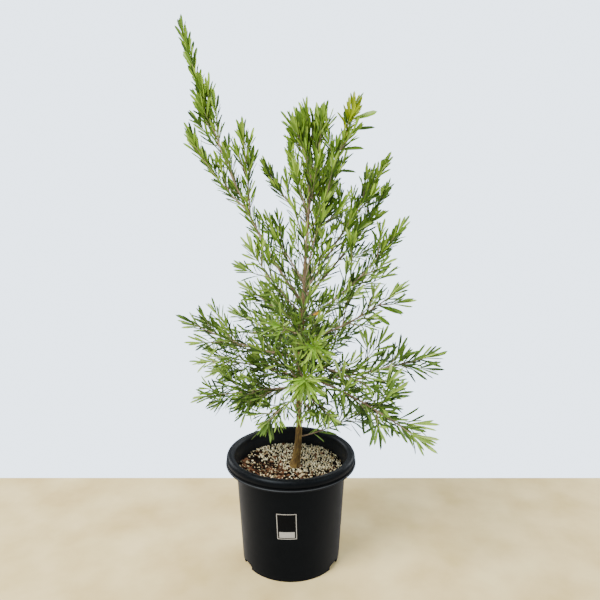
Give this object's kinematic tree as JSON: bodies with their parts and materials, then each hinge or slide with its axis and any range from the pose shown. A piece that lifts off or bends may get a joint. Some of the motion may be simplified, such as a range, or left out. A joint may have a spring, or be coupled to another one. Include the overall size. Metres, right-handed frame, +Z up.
{
  "type": "bottlebrush plant",
  "caption": "Young bottlebrush shrub with one leaning trunk and narrow pointed leaves, growing in a round black nursery pot filled with a gritty potting mix.",
  "frame": {"origin": "centre of the pot's flat underside", "axes": "+Z up along the pot's axis, -Y towards the front, where the label is, +X to the right seen from the front"},
  "size_m": [0.5722, 0.4844, 1.194],
  "materials": {
    "pot_plastic": "satin black plastic",
    "potting_mix": "loose pumice grit, bark chips and dark soil",
    "label_paper": "black sticker with a pale border and blank pale panel",
    "bark": "fine fissured bark, olive brown to pinkish tan",
    "foliage": "smooth green leaves on tan twigs"
  },
  "bodies": {
    "root": {"pot": "pot_plastic", "potting_mix": "potting_mix", "label": "label_paper", "trunk": "bark", "bough_front": "bark", "bough_front_right": "bark", "bough_left_leader": "bark", "bough_long_front_right": "bark", "bough_long_right": "bark", "bough_low_back_right": "bark", "bough_lower_back": "bark", "bough_lower_back_left": "bark", "bough_lower_back_right": "bark", "bough_lower_left": "bark", "bough_lower_right": "bark", "bough_middle_back": "bark", "bough_middle_back_left": "bark", "bough_middle_left": "bark", "bough_middle_right": "bark", "bough_right_leader": "bark", "bough_upper_back_left": "bark", "bough_upper_back_right": "bark", "bough_upper_right": "bark", "bough_upright_left": "bark", "foliage_front": "foliage", "foliage_front_right": "foliage", "foliage_high_back": "foliage", "foliage_high_front": "foliage", "foliage_high_front_left": "foliage", "foliage_high_left": "foliage", "foliage_leading_shoot": "foliage", "foliage_left_leader": "foliage", "foliage_long_front_right": "foliage", "foliage_long_right": "foliage", "foliage_low_back_right": "foliage", "foliage_low_front": "foliage", "foliage_low_front_left": "foliage", "foliage_low_front_right": "foliage", "foliage_lower_back": "foliage", "foliage_lower_back_left": "foliage", "foliage_lower_back_right": "foliage", "foliage_lower_left": "foliage", "foliage_lower_right": "foliage", "foliage_middle_back": "foliage", "foliage_middle_back_left": "foliage", "foliage_middle_left": "foliage", "foliage_middle_right": "foliage", "foliage_right_leader": "foliage", "foliage_short_left": "foliage", "foliage_upper_back_left": "foliage", "foliage_upper_back_right": "foliage", "foliage_upper_right": "foliage", "foliage_upright_left": "foliage"}
  },
  "joints": []
}
